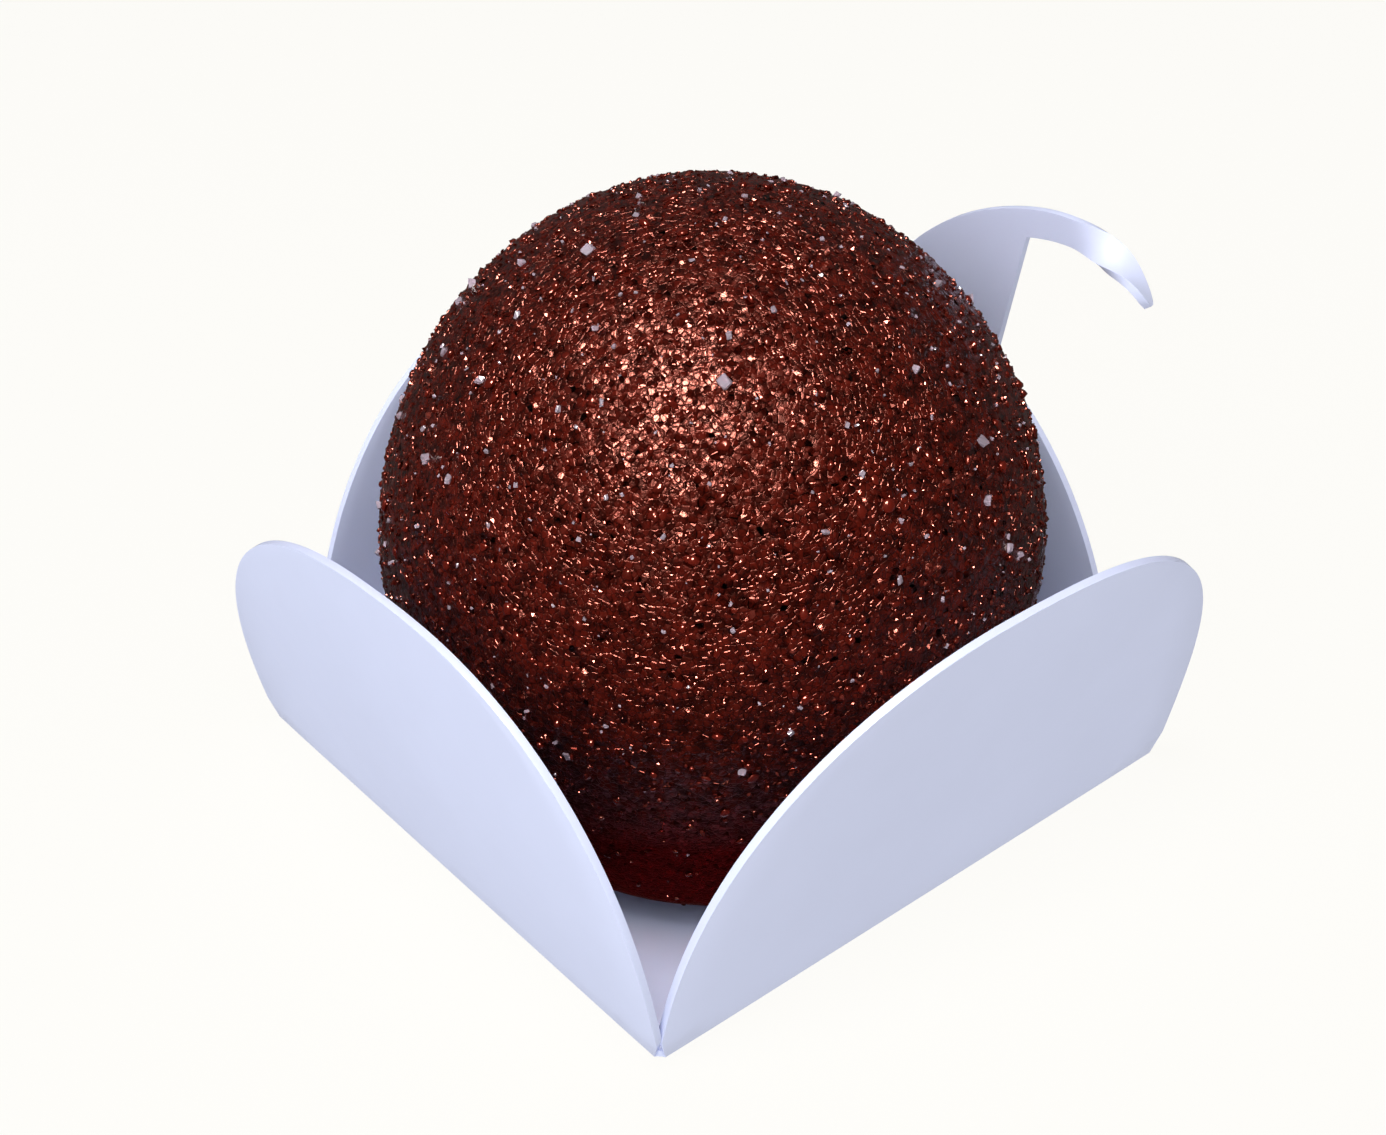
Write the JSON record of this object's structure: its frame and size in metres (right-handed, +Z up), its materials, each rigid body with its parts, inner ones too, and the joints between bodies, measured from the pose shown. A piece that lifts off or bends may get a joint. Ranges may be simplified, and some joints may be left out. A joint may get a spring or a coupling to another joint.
{
  "type": "chocolate truffle in a card case",
  "caption": "Round chocolate truffle with a grainy sugared coating, standing in a folded square card case with rounded petals.",
  "frame": {"origin": "middle of the underside of the case's square base, on the surface that it rests on", "axes": "+Z up; the base's sides lie along X and Y; the two open front petals face -X and -Y, and the petal with the curled tongue faces +X"},
  "size_m": [0.0363, 0.0377, 0.0318],
  "materials": {
    "chocolate": "grainy sugar coating with a glossy melted skin",
    "card": "smooth satin pale lilac card"
  },
  "bodies": {
    "root": {"truffle": "chocolate", "paper_case": "card"}
  },
  "joints": []
}
